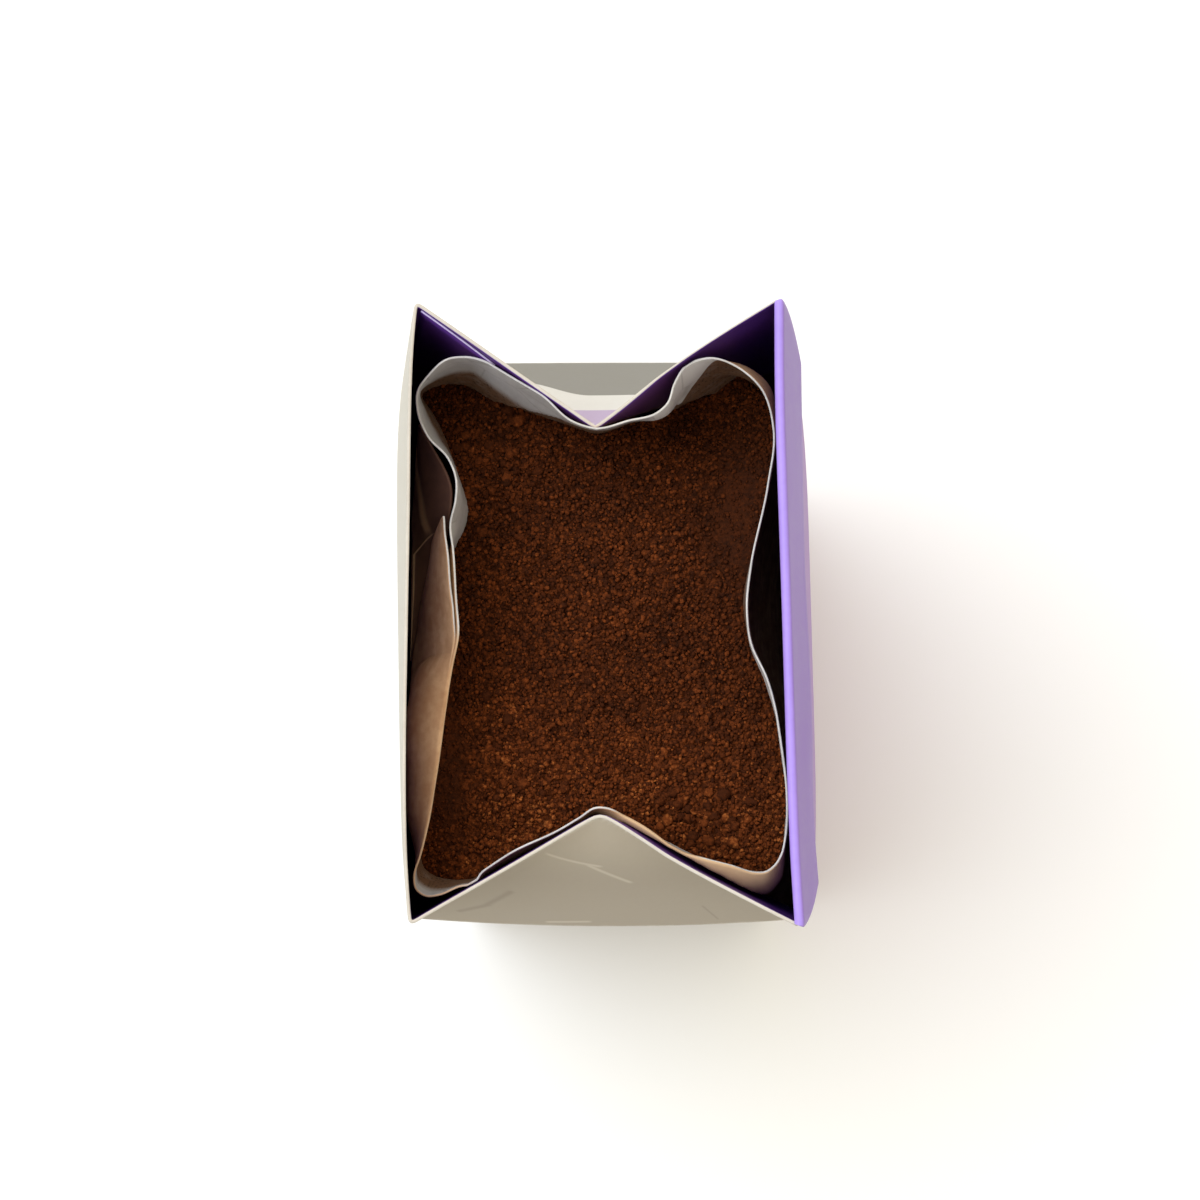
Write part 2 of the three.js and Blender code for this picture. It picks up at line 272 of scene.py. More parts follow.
box = {
    "length": 85.0, "width": 60.0, "board": 0.45, "rimHeight": 174.25, "roofRise": 45.0, "skew": -0.02,
    "bulge": 1.6, "bulgeRise": 60.0, "rimBow": 1.0, "eastRimBow": -0.3, "bowPower": 5,
    "northDish": 0.3, "southDish": -1.3, "northBow": 0.2, "southBow": 1.2, "armBow": 0.75, "tipRound": 0.028,
    "rollRadius": 0.22, "flapLength": 15.0, "flapFlare": math.radians(12), "flapTaper": 5.6,
    "longColumns": 84, "bodyRows": 34, "cornerRound": 0.8, "rimRound": 1.35, "foldRound": 0.5,
    "unevenness": 0.22,
}
shoulderHeight = box["rimHeight"] - box["roofRise"]
halfWidth, halfLength = box["width"] / 2, box["length"] / 2
# where the south, east, north and west sides start on the flat blank
sideStarts = [0.0, 60.0, 145.0, 205.0, 290.0]
rim = {
    "northWest": Vector((-25.6, 42.7, box["rimHeight"])),
    "northEast": Vector((24.35, 42.7, box["rimHeight"])),
    "southEast": Vector((26.5, -43.0, box["rimHeight"])),
    "southWest": Vector((-25.8, -43.0, box["rimHeight"])),
}
northTip = Vector((-0.75, 25.85, box["rimHeight"] - 3.2))
southTip = Vector((-0.1, -27.95, box["rimHeight"] - 2.4))
# across a short side from its middle to its corner; the roof's rows take the same steps
acrossSteps = [i / 38 * 0.95 for i in range(38)] + [0.95, 0.967, 0.98, 0.99, 1.0]


def bodyCorner(sideX, sideY, z):
    y = sideY * halfLength
    return Vector((sideX * halfWidth + box["skew"] * y, y, z))


corners = {"northWest": (-1, 1), "northEast": (1, 1), "southEast": (1, -1), "southWest": (-1, -1)}
shoulder = {name: bodyCorner(*sides, shoulderHeight) for name, sides in corners.items()}


def cornerAt(name, z):
    # the roof's corners lean in from the shoulder to the rim
    t = (z - shoulderHeight) / box["roofRise"]
    return shoulder[name].lerp(rim[name], t) if t > 0 else bodyCorner(*corners[name], z)


def longPanelPoint(side, along, z):
    end = "East" if side > 0 else "West"
    p = cornerAt("south" + end, z).lerp(cornerAt("north" + end, z), (along + 1) / 2)
    t = (z - shoulderHeight) / box["roofRise"]
    if t > 0:
        top = box["rimBow"] if side < 0 else box["eastRimBow"]
        bow = box["bulge"] + (top - box["bulge"]) * t * t
    else:
        bow = box["bulge"] * math.sin(math.pi / 2 * min(1.0, z / box["bulgeRise"]))
    p.x += side * bow * (1 - abs(along) ** box["bowPower"])
    return p


def shortPanelPoint(side, across, z):
    swell = box["northBow"] if side > 0 else box["southBow"]
    if z <= shoulderHeight:
        p = bodyCorner(-1, side, z).lerp(bodyCorner(1, side, z), (across + 1) / 2)
        p.y += side * swell * math.sin(math.pi / 2 * min(1.0, z / box["bulgeRise"])) * (1 - across * across)
        return p
    # above the shoulder: a middle triangle, and two flanks that turn in to the tip
    t = (z - shoulderHeight) / box["roofRise"]
    s = abs(across)
    left, right = ("northWest", "northEast") if side > 0 else ("southWest", "southEast")
    tip = northTip if side > 0 else southTip
    if s <= 1 - t + 1e-6:
        p = shoulder[left] * ((1 - t - across) / 2) + shoulder[right] * ((1 - t + across) / 2) + tip * t
        dish = box["northDish"] if side > 0 else box["southDish"]
        p.y -= side * dish * math.sin(math.pi * t) * (1 - (across / max(1e-6, 1 - t)) ** 2)
    else:
        name = right if across > 0 else left
        p = shoulder[name] * (1 - t) + rim[name] * (s + t - 1) + tip * (1 - s)
        if across > 0:
            p.y += side * box["armBow"] * math.sin(math.pi * s ** 0.8) * min(1.0, 3 * (s + t - 1) / t)
    p.y += side * swell * (1 - across * across) * (1 - t) ** 2
    if side < 0:
        soft = math.sqrt(s * s + box["tipRound"] ** 2) - s
        p.y += (rim[left].y - tip.y) * soft * max(0.0, (t - 0.85) / 0.15) ** 2
    return p


def panelPoint(u, z):
    if u <= sideStarts[1]:
        return shortPanelPoint(-1, u / halfWidth - 1, z)
    if u <= sideStarts[2]:
        return longPanelPoint(1, (u - sideStarts[1]) / halfLength - 1, z)
    if u <= sideStarts[3]:
        return shortPanelPoint(1, 1 - (u - sideStarts[2]) / halfWidth, z)
    return longPanelPoint(-1, 1 - (u - sideStarts[3]) / halfLength, z)


def foldBlank(u, v):
    # a place on the flat blank (round the box, up the box) to its place on the folded carton
    z = min(v, box["rimHeight"])
    whole = sideStarts[-1]
    start = min(sideStarts, key=lambda c: abs(u - c))
    nearRim = easeIn((v - box["rimHeight"] + 14) / 12)
    top = box["foldRound"] if start in (sideStarts[1], sideStarts[2]) else box["rimRound"]
    radius = box["cornerRound"] + (top - box["cornerRound"]) * nearRim
    gap = u - start
    if abs(gap) < radius:
        w = (gap + radius) / (2 * radius)
        before, after = panelPoint((start - radius) % whole, z), panelPoint((start + radius) % whole, z)
        return before * (1 - w) ** 2 + panelPoint(start, z) * (2 * w * (1 - w)) + after * w * w
    side = sum(u > c for c in sideStarts[1:4])
    out = [Vector((0, -1, 0)), Vector((1, 0, 0)), Vector((0, 1, 0)), Vector((-1, 0, 0))][side]
    # slightly uneven board, but not at its folds
    calm = easeIn((abs(gap) - radius) / 10) * min(1.0, v / 12) * min(1.0, abs(v - shoulderHeight) / 8)
    uneven = box["unevenness"] * (noise.noise(Vector((u / 31, v / 37, 4.1))) - 0.2)
    return panelPoint(u, z) + out * calm * uneven


def blankColumns():
    # closer together beside the corners, where the board turns
    short = [halfWidth * (1 - a) for a in reversed(acrossSteps)]
    short += [halfWidth * (1 + a) for a in acrossSteps[1:]]
    count, length = box["longColumns"], box["length"]
    long = [0.3, 0.6] + [1 + i / count * (length - 2) for i in range(count + 1)]
    long += [length - 0.6, length - 0.3, length]
    parts = (short[1:], long, short[1:], long)
    return [0.0] + [start + u for start, part in zip(sideStarts, parts) for u in part]


def blankRows():
    body = [easeIn(i / box["bodyRows"]) * shoulderHeight for i in range(box["bodyRows"])]
    return body + [shoulderHeight + box["roofRise"] * (1 - a) for a in reversed(acrossSteps)]


def blankLayer(bm):
    return bm.loops.layers.uv.get("blank") or bm.loops.layers.uv.new("blank")


def shapeGrid(bm, columns, rows, place, uvPlace):
    # a flat grid whose corners are sent to their places, with the flat blank kept as UVs
    made = bmesh.ops.create_grid(bm, x_segments=len(columns) - 1, y_segments=len(rows) - 1, size=0.5)
    layer = blankLayer(bm)
    found = {}
    for vert in made["verts"]:
        i = round((vert.co.x + 0.5) * (len(columns) - 1))
        j = round((vert.co.y + 0.5) * (len(rows) - 1))
        found[vert] = (i, j)
    faces = {face for vert in made["verts"] for face in vert.link_faces}
    for face in faces:
        for loop in face.loops:
            i, j = found[loop.vert]
            loop[layer].uv = uvPlace(columns[i], rows[j])
    for vert, (i, j) in found.items():
        vert.co = place(columns[i], rows[j])
    return found


def flapPoint(u, v):
    # the east rim rolls outward and hangs as a flap; v runs 0-1 over the roll and 1-2 down the flap
    along = (u - sideStarts[1]) / halfLength - 1
    p = foldBlank(u, box["rimHeight"])
    turn = min(1.0, v)
    angle = math.pi - turn * (math.pi - box["flapFlare"])
    hang = max(0.0, v - 1)
    p.x += box["rollRadius"] * (1 + math.cos(angle)) + hang * box["flapLength"] * math.sin(box["flapFlare"])
    p.z += box["rollRadius"] * math.sin(angle) - hang * box["flapLength"] * math.cos(box["flapFlare"])
    p.y -= along * box["flapTaper"] * hang ** (2.0 if along > 0 else 1.7)
    p.x += hang * 0.35 * noise.noise(Vector((u / 24, hang * 1.3, 9.2)))
    return p


gluePly = {"start": 1.5, "length": 14.0, "depth": 34.0, "gap": 0.03, "spring": 0.1, "thickness": -0.25}


def makeGluePly():
    # the side seam's inner ply, lying along the north-west arm
    corner = rim["northWest"]
    along = (northTip - corner).normalized()
    down = (shoulder["northWest"] - corner).normalized()
    inward = down.cross(along).normalized()

    def place(u, v):
        edge = gluePly["start"] + u * (gluePly["length"] - gluePly["start"] - 3 * v)
        depth = (0.7 + 1.6 * u * u) * (1 - v) + (gluePly["depth"] + 3 - 3 * u) * v
        lift = box["board"] + gluePly["gap"] + gluePly["spring"] * u * (1 - 0.5 * v)
        return corner + along * edge + down * depth + inward * lift

    bm = bmesh.new()
    steps = [i / 12 for i in range(13)]
    shapeGrid(bm, steps, steps, place, lambda u, v: (0.215 + u * 0.012, 0.165 - v * 0.034))
    bmesh.ops.recalc_face_normals(bm, faces=bm.faces)
    return bm


def foldGap(u, v):
    # how far a place of the blank lies from the slanting folds, in shares of half a short side
    fold = 1 - (v - shoulderHeight) / box["roofRise"]
    if not 0 <= fold <= 1:
        return 1.0
    middles = (halfWidth, sideStarts[2] + halfWidth)
    return min(abs(abs(u - middle) / halfWidth - fold) for middle in middles)


def makeCarton():
    bm = bmesh.new()
    columns, rows = blankColumns(), blankRows()
    found = shapeGrid(bm, columns, rows, foldBlank, lambda u, v: (u * mm, v * mm))
    # edges along the slanting folds of the short sides
    diagonal = [vert for vert, (i, j) in found.items() if foldGap(columns[i], rows[j]) < 1e-4]
    bmesh.ops.connect_verts(bm, verts=diagonal)
    flapColumns = [u for u in columns if sideStarts[1] <= u <= sideStarts[2]]
    flapRows = [i / 10 for i in range(11)] + [1 + i / 14 for i in range(1, 15)]
    flapUv = lambda u, v: (u * mm, (box["rimHeight"] + 1.2 * v + 13.8 * max(0.0, v - 1)) * mm)
    shapeGrid(bm, flapColumns, flapRows, flapPoint, flapUv)
    bmesh.ops.remove_doubles(bm, verts=bm.verts, dist=0.002)
    base = [edge for edge in bm.edges if edge.is_boundary and max(v.co.z for v in edge.verts) < 0.01]
    bmesh.ops.edgeloop_fill(bm, edges=base)
    markCreases(bm)
    return bm


def markCreases(bm):
    # how close each corner lies to a fold of the blank, for the worn print and painted highlight there, and
    # how thick the board is
    layer = blankLayer(bm)
    crease = bm.verts.layers.float.new("crease")
    board = bm.verts.layers.deform.verify()
    for vert in bm.verts:
        u, v = (c / mm for c in vert.link_loops[0][layer].uv)
        pressed = easeIn((v - box["rimHeight"] + 7) / 5) * easeIn((172 - u) / 14) * easeIn((u - 144) / 2)
        vert[board][0] = 1 - 0.6 * pressed
        gap = min(*[abs(u - start) for start in sideStarts], abs(v - shoulderHeight), foldGap(u, v) * 25)
        vert[crease] = max(0.0, 1 - gap / 0.7)


# the crease fibre colour is worn print and painted highlight
# the pale violet over the rim's roll is a painted highlight
# the south creams are the cream painted darker as painted shade, less dark toward the tip
# the west cream is the cream painted darker as painted shade
inks = {
    "cream": colour(212, 210, 206), "westShadedCream": colour(190, 187, 178), "southShadedCream": colour(160, 149, 131),
    "southTipLighterShade": colour(186, 175, 156), "lilac": colour(176, 155, 189), "eastLilac": colour(152, 118, 178),
    "taupe": colour(125, 122, 115), "violet": colour(94, 55, 142), "violetFoldHighlight": colour(172, 146, 236),
    "violetFlap": colour(122, 82, 174), "board": colour(214, 208, 198), "creaseFibreHighlight": colour(240, 233, 226),
}
# where the print changes colour, and where the south side's painted shade grades toward the tip, in mm round
# the blank and in shares of the roof's height
fields = {
    "soft": 0.12, "wave": (176.0, 186.5), "waveDrop": -9.0, "waveTop": 0.51, "lilacFrom": 0.75,
    "tipLightFrom": 0.45, "tipLightTo": 0.95,
}


def makePrintGroup():
    tree, _, result = newGroup("printFields", [], [("Colour", "NodeSocketColor")])
    u, v = [product(tree, part, 1000.0) for part in splitPlace(tree, blankPlace(tree))[:2]]
    soft = fields["soft"]

    def roofLevel(name):
        return shoulderHeight + fields[name] * box["roofRise"]

    # on the north the taupe ends in a low wave, then a cream band, then lilac up to the rim
    wave = product(tree, stepBetween(tree, u, *fields["wave"]), fields["waveDrop"])
    above = calc(tree, "SUBTRACT", v, calc(tree, "ADD", wave, roofLevel("waveTop")))
    north = blendColours(tree, stepBetween(tree, above, -soft, soft), inks["taupe"], inks["cream"])
    lilac = stepBetween(tree, v, roofLevel("lilacFrom") - soft, roofLevel("lilacFrom") + soft)
    north = blendColours(tree, lilac, north, inks["lilac"])
    # the south side is the cream painted darker as painted shade, and paler toward the tip as painted light
    tipPaintedLight = stepBetween(tree, v, roofLevel("tipLightFrom"), roofLevel("tipLightTo"))
    south = blendColours(tree, tipPaintedLight, inks["southShadedCream"], inks["southTipLighterShade"])
    # the west side takes the cream painted darker, as painted shade
    east, northStart, west = sideStarts[1:4]
    onWest = stepBetween(tree, u, west - soft, west + soft)
    rest = blendColours(tree, onWest, inks["cream"], inks["westShadedCream"])
    whole = blendColours(tree, stepBetween(tree, u, east + soft, east - soft), rest, south)
    whole = blendColours(tree, insideOf(tree, u, east, northStart, soft), whole, inks["eastLilac"])
    whole = blendColours(tree, insideOf(tree, u, northStart, west, soft), whole, north)
    tree.links.new(whole, result.inputs["Colour"])
    return tree


def makeStrokeGroup():
    inputs = [("Place", "NodeSocketVector", (0, 0, 0)), ("From", "NodeSocketVector", (0, 0, 0)),
              ("To", "NodeSocketVector", (0, 0, 0)), ("Width", "NodeSocketFloat", 0.0002)]
    tree, given, result = newGroup("strokeShare", inputs, [("Share", "NodeSocketFloat")])

    def vectors(operation, inputs, output=0):
        return makeNode(tree, "ShaderNodeVectorMath", inputs, operation=operation).outputs[output]

    reach = vectors("SUBTRACT", {0: given.outputs["Place"], 1: given.outputs["From"]})
    line = vectors("SUBTRACT", {0: given.outputs["To"], 1: given.outputs["From"]})
    along = calc(tree, "DIVIDE", vectors("DOT_PRODUCT", {0: reach, 1: line}, 1),
                 vectors("DOT_PRODUCT", {0: line, 1: line}, 1), clamp=True)
    foot = vectors("SCALE", {0: line, 3: along})
    gap = vectors("LENGTH", {0: vectors("SUBTRACT", {0: reach, 1: foot})}, 1)
    ends = stepBetween(tree, product(tree, along, calc(tree, "SUBTRACT", 1.0, along)), 0.0, 0.1)
    near = stepBetween(tree, calc(tree, "DIVIDE", gap, given.outputs["Width"]), 1.0, 0.0)
    tree.links.new(product(tree, near, ends), result.inputs["Share"])
    return tree


printFields = makePrintGroup()
strokeShare = makeStrokeGroup()
# on the blank, in mm: from, to, width; pale and dark strokes along small creases and scratches of the south
# side: the pale ones scratched print and painted highlight, the dark ones painted shade in the creases
creaseLightMarks = {
    "pale": [(21.5, 160.0, 30.0, 156.8, 0.6), (27.2, 158.0, 34.0, 150.0, 0.6),
             (20.0, 131.2, 27.5, 131.8, 0.8)],
    "dark": [(43.7, 139.0, 46.4, 131.2, 0.3), (7.0, 134.0, 12.8, 139.0, 0.9),
             (11.4, 137.6, 16.4, 145.6, 0.9)],
}


def creaseLightMarkShare(tree, place, kind):
    total = 0.0
    for x0, y0, x1, y1, width in creaseLightMarks[kind]:
        inputs = {"Place": place, "Width": width * mm,
                  "From": (x0 * mm, y0 * mm, 0), "To": (x1 * mm, y1 * mm, 0)}
        total = calc(tree, "MAXIMUM", useGroup(tree, strokeShare, inputs).outputs[0], total)
    return total


def printedPaper(name, surface, sizes, bump, coat, ink, dullness, wearAndLight):
    # print on board: dulled by the grain, and paler along the creases, where the print is worn and a painted
    # highlight stands for the light the folds catch
    fixed = {"Coat Weight": coat[0], "Coat Roughness": coat[1]}
    material, tree, shader, grain, tone = newPaper(name, surface, *sizes, 0.25, bump, **fixed)
    base = ink(tree)
    toned = blendColours(tree, tone, blendColours(tree, 1.0, base, dullness, "MULTIPLY"), base)
    # the pale crease strokes are scratched print and painted highlight, the dark ones painted shade
    for kind, markColour in wearAndLight["creaseLightColours"].items():
        toned = blendColours(tree, product(tree, creaseLightMarkShare(tree, blankPlace(tree), kind), 0.35), toned, markColour)
    wornAndLit = useGroup(tree, creaseWearAndHighlight,
                    {"Colour": toned, "WornAndLit": inks["creaseFibreHighlight"], "Amount": wearAndLight["crease"]})
    tree.links.new(wornAndLit.outputs[0], shader.inputs["Base Color"])
    rough = calc(tree, "MULTIPLY_ADD", grain.outputs["Tone"], *wearAndLight["roughness"])
    tree.links.new(rough, shader.inputs["Roughness"])
    return material


def outsideInk(tree):
    return useGroup(tree, printFields).outputs[0]


def insideInk(tree):
    # violet; painted paler where the board rolls over the rim, a painted highlight on the roll, and deeper
    # again down the flap
    v = splitPlace(tree, blankPlace(tree))[1]
    height = box["rimHeight"]
    foldHighlight = stepBetween(tree, v, (height - 0.4) * mm, (height + 0.2) * mm)
    overFlap = stepBetween(tree, v, (height + 0.75) * mm, (height + 1.3) * mm)
    ink = blendColours(tree, foldHighlight, inks["violet"], inks["violetFoldHighlight"])
    return blendColours(tree, overFlap, ink, inks["violetFlap"])


def plainPaper(name, surface, sizes, bump, low, dark, light):
    material, tree, shader, _, tone = newPaper(name, surface, *sizes, low, bump)
    tree.links.new(blendColours(tree, tone, dark, light), shader.inputs["Base Color"])
    return material


# on the south side the pale crease strokes are scratched print and painted highlight, the dark ones painted
# shade
outsidePrint = printedPaper(
    "cartonPrint", (0.5, 0.22), (1300.0, 55.0), (0.25, 0.00006), (0.03, 0.3), outsideInk,
    (0.93, 0.925, 0.915, 1), {"creaseLightColours": {"pale": colour(226, 218, 200), "dark": colour(104, 94, 78)},
                              "crease": 0.5, "roughness": (0.2, 0.38)})
insidePrint = printedPaper(
    "cartonInside", (0.45, 0.25), (1100.0, 70.0), (0.2, 0.00005), (0.04, 0.25), insideInk,
    (0.86, 0.84, 0.88, 1),
    {"creaseLightColours": {}, "crease": 0.25, "roughness": (0.22, 0.28)})
cutBoard = plainPaper("cutBoard", (0.85, 0.25), (2600.0, 240.0), (0.5, 0.0001), 0.25, colour(198, 190, 180),
                      inks["board"])
plyEdge = plainPaper("plyEdge", (0.7, 0.3), (2200.0, 300.0), (0.3, 0.00005), 0.25, colour(186, 168, 214),
                     colour(222, 210, 238))
carton = finishPiece("carton_board", makeCarton(), [outsidePrint, insidePrint, cutBoard], "carton")
carton.vertex_groups.new(name="board")
addWall(carton, box["board"], False).vertex_group = "board"
ply = finishPiece("carton_ply", makeGluePly(), [insidePrint, insidePrint, plyEdge], None)
addWall(ply, gluePly["thickness"])


# Inner bag: its mouth and, beside each point of it, where the wall meets the coffee

bagPaper = {
    "thickness": 0.26, "columns": 480, "levelDrop": 26.0, "widenDrop": 34.0, "fullDrop": 110.0, "widen": 14.0,
    "clearance": 0.12, "crinkle": 0.7, "crinkleSize": 13.0, "floor": 0.8, "ruffle": 0.25,
}
# where: degrees round the box, spread and sharpness
plyRoom = {"where": (118, 0.16, 4), "room": 0.6, "depth": 42.0}
armLean = {"where": (68, 0.2, 4), "room": 0.8, "depth": 16.0}
# in the north-east the mouth rolls outward and, beside that, inward: where, mm down, mm outward
mouthCurls = [((55, 0.2, 2), 13, 1.3), ((71, 0.1, 2), 17, -1.56)]
# x, y and drop below the carton's rim at the mouth; x, y at the coffee; how far the wall bellies out
mouth = [
    (-25.8, 28.4, 7, -25.2, 31.3, 0), (-24.3, 24.8, 8, -23.6, 28.3, 0), (-21.6, 21.9, 8, -22.5, 25.1, 0),
    (-20.5, 19.1, 8, -21.5, 22.2, 0), (-20.5, 16.2, 8, -20.2, 18.5, 0), (-21.3, 12.5, 9, -20.4, 15.4, 0),
    (-20.9, 9.3, 9, -22.4, 10.5, 1), (-20.4, 2.1, 9, -22.6, 2.6, 2), (-20.1, -2.5, 9, -24, -2.4, 0.5),
    (-20.9, -6.9, 10, -27.2, -7, 2), (-21.7, -12.6, 10, -28.2, -12.8, 4), (-22.8, -20.9, 10, -28.2, -21, 4),
    (-24, -28.2, 10, -28, -28, 3), (-25.3, -33.6, 9.5, -27, -32.5, 1), (-26, -36.2, 9, -26.6, -33.8, 0),
    (-25.6, -38.1, 8, -26, -35.2, 0), (-24.2, -39.05, 8, -24.4, -36.4, 0), (-22.2, -38.9, 7.5, -22.3, -37, 0),
    (-19.4, -37.75, 7, -19.8, -37.2, 0), (-17.3, -37.3, 7, -17.4, -37, 0), (-16.4, -35.9, 7, -16.3, -36.8, 0),
    (-14.9, -34.8, 7, -14.9, -36.2, 0), (-12.6, -33.3, 7, -12.8, -35.2, 0), (-5.6, -30, 6, -5.8, -32, 0),
    (-2.9, -28.4, 5, -3, -30.6, 0), (-0.7, -27.1, 4, -0.7, -29.4, 0), (1, -27.2, 4, 1.2, -30, 2),
    (3, -28.05, 5, 3.6, -31.8, 5), (6.4, -29.96, 5, 7.4, -34.2, 5), (9.7, -32.3, 5.5, 10.4, -36.4, 5),
    (11, -33, 6, 11.6, -36.6, 5), (14.2, -33.9, 6, 15.2, -38, 5), (17.9, -34.85, 7, 18.6, -38.9, 5),
    (21.25, -35.8, 8, 21.8, -39, 4.5), (22.6, -35.75, 8, 23.6, -38.6, 4), (23.9, -34.9, 8, 25.2, -36.9, 3),
    (24.9, -33.3, 8, 26, -34.6, 1), (25.4, -31.3, 8, 26.5, -31, 0),
    (25.7, -24.8, 8, 26.8, -24.2, 0), (25.1, -18.8, 8, 26.1, -17.9, 0), (23.2, -9.2, 8, 24.1, -7.9, 0),
    (20.9, -3.6, 9, 21.7, -2, 0), (20.4, 1.2, 9, 21.2, 3, 0), (21, 6.9, 9, 21.9, 9, 0),
    (23.4, 18, 8, 24.4, 20.6, 0), (24.2, 25.6, 7, 25.3, 28.4, 0), (22.4, 31.2, 5, 24.4, 34.6, 0),
    (18.9, 34.2, 4, 20.1, 37, 0), (14.8, 35.2, 3, 16, 36, 0), (11.8, 34.2, 3, 13.5, 34.3, 0),
    (10.1, 31.6, 3, 11.6, 33.2, 0), (9.1, 28.8, 3, 10.3, 32.6, 0), (7.9, 27.7, 3, 8.35, 32, 0),
    (3.8, 26.5, 3, 4, 30.4, 0), (-0.7, 25.35, 2.5, -0.8, 29.2, 0), (-3.9, 26.4, 3, -4.2, 30, 0),
    (-7.9, 29.9, 3, -8.4, 31.3, 0), (-14, 34, 3, -13.5, 33.1, 0), (-18.8, 35.7, 4, -18.2, 35.4, 0),
    (-21.5, 35.3, 4, -21, 36.2, 0), (-24.1, 33.3, 5, -24.5, 36, 0), (-25.7, 31.3, 6, -27, 34.5, 0),
]


def loopSpline(controls, count):
    # a smooth closed curve through rows of numbers, evenly spaced by the first two
    p = np.array(controls, float)
    gap = np.linalg.norm(np.roll(p[:, :2], -1, 0) - p[:, :2], axis=1)
    rise = (np.roll(p, -1, 0) - p) / gap[:, None]
    before, gapBefore = np.roll(rise, 1, 0), np.roll(gap, 1)
    slope = (rise * gapBefore[:, None] + before * gap[:, None]) / (gap + gapBefore)[:, None]
    knots = np.concatenate([[0.0], np.cumsum(gap)])
    at = np.linspace(0, knots[-1], count, endpoint=False)
    i = np.clip(np.searchsorted(knots, at, side="right") - 1, 0, len(p) - 1)
    h = gap[i][:, None]
    t = ((at - knots[i]) / gap[i])[:, None]
    j = (i + 1) % len(p)
    return ((2 * t**3 - 3 * t**2 + 1) * p[i] + (t**3 - 2 * t**2 + t) * h * slope[i]
            + (3 * t**2 - 2 * t**3) * p[j] + (t**3 - t**2) * h * slope[j])


def cartonSection(z, inset):
    # the carton's inner outline at a height, anticlockwise
    def notch(tip, name):
        s = (z - shoulderHeight) / (tip.z - shoulderHeight)
        return [shoulder[name].lerp(tip, min(0.999, s))] if s > 0 else []

    points = [cornerAt("southWest", z), *notch(southTip, "southWest"), *notch(southTip, "southEast"),
              cornerAt("southEast", z), *[longPanelPoint(1, s, z) for s in (-0.6, 0, 0.6)],
              cornerAt("northEast", z), *notch(northTip, "northEast"), *notch(northTip, "northWest"),
              cornerAt("northWest", z), *[longPanelPoint(-1, s, z) for s in (0.6, 0, -0.6)]]
    flat = [Vector((p.x, p.y)) for p in points]
    moved = []
    for k, p in enumerate(flat):
        before = (p - flat[k - 1]).normalized()
        after = (flat[(k + 1) % len(flat)] - p).normalized()
        n1, n2 = Vector((-before.y, before.x)), Vector((-after.y, after.x))
        moved.append(p + (n1 + n2) * (inset / max(0.25, 1 + n1.dot(n2))))
    return moved


def reachOf(outline, x, y):
    # how far the outline lies from the middle in the direction of x, y
    length = math.hypot(x, y)
    ray = Vector((x / length, y / length))
    nearest = 99.0
    for k, a in enumerate(outline):
        edge = outline[(k + 1) % len(outline)] - a
        cross = ray.x * edge.y - ray.y * edge.x
        if abs(cross) < 1e-9:
            continue
        distance = (a.x * edge.y - a.y * edge.x) / cross
        place = (a.x * ray.y - a.y * ray.x) / cross
        if distance > 0 and -1e-6 <= place <= 1 + 1e-6:
            nearest = min(nearest, distance)
    return nearest


sections = {}


def keepInside(x, y, z):
    level = round(z)
    if level not in sections:
        sections[level] = cartonSection(level, box["board"] + bagPaper["clearance"])
    reach = reachOf(sections[level], x, y)
    turn = math.atan2(y, x)
    depth = box["rimHeight"] - z
    # room beside the glue ply in the north-west; the other arm bows out and lets the paper lean on it
    if depth < plyRoom["depth"]:
        reach -= plyRoom["room"] * peak(turn, *plyRoom["where"])
    reach += armLean["room"] * peak(turn, *armLean["where"]) * clamp01((armLean["depth"] - depth) / 8)
    share = min(1.0, reach / math.hypot(x, y))
    return x * share, y * share


def crinkle(x, y, z):
    # facets and soft creases of paper that was folded shut before
    size = bagPaper["crinkleSize"]
    near = noise.voronoi(Vector((x / size, y / size, z / (1.5 * size))))[0]
    return 0.9 * (near[1] - near[0]) + 0.35 * noise.noise(Vector((x / 7, y / 7, z / 11)))


def bagWallPoint(row, below):
    # a point of the wall under one point of the mouth, in millimetres
    x0, y0, drop, x1, y1, belly = row
    depth = drop + below
    z = max(bagPaper["floor"], box["rimHeight"] - depth)
    share = min(1.0, below / (bagPaper["levelDrop"] - drop))
    turned = 1 - (1 - share) ** (1 + belly)
    x, y = x0 + (x1 - x0) * turned, y0 + (y1 - y0) * turned
    length = math.hypot(x, y)
    outX, outY = x / length, y / length
    start, end = bagPaper["widenDrop"], bagPaper["fullDrop"]
    outward = bagPaper["widen"] * easeIn((depth - start) / (end - start))
    for where, down, reach in mouthCurls:
        outward += reach * peak(math.atan2(y0, x0), *where) * math.sin(math.pi * clamp01(below / down))
    x, y = x + outX * outward, y + outY * outward
    fold = crinkle(x, y, z) * bagPaper["crinkle"] * min(1.0, below / 5 + 0.15)
    return Vector((*keepInside(x - outX * fold, y - outY * fold, z), z))


def makeBag():
    count = bagPaper["columns"]
    brim = loopSpline(mouth, count)
    depths = [0, 0.35, 0.8, 1.5, 2.4] + [3.4 + 1.15 * i for i in range(24)]
    depths = (depths + [33, 37, 42, 48, 56, 70, 90, 115, 140, 175])[::-1]
    ruffle = [bagPaper["ruffle"] * noise.noise(Vector((i / 9, 0.3, 1.7))) for i in range(count)]

    def place(i, j):
        p = bagWallPoint(brim[i % count], depths[j])
        if depths[j] < 3:
            p.z += ruffle[i % count]
        return p

    bm = bmesh.new()
    rows = range(len(depths))
    shapeGrid(bm, range(count + 1), rows, place, lambda i, j: (i * 0.6 * mm, -depths[j] * mm))
    bmesh.ops.remove_doubles(bm, verts=bm.verts, dist=0.0005)
    base = [edge for edge in bm.edges if edge.is_boundary and max(v.co.z for v in edge.verts) < 5]
    bmesh.ops.edgeloop_fill(bm, edges=base)
    addFold(bm, pleat)
    addFold(bm, tuck)
    paintDust(bm)
    return bm


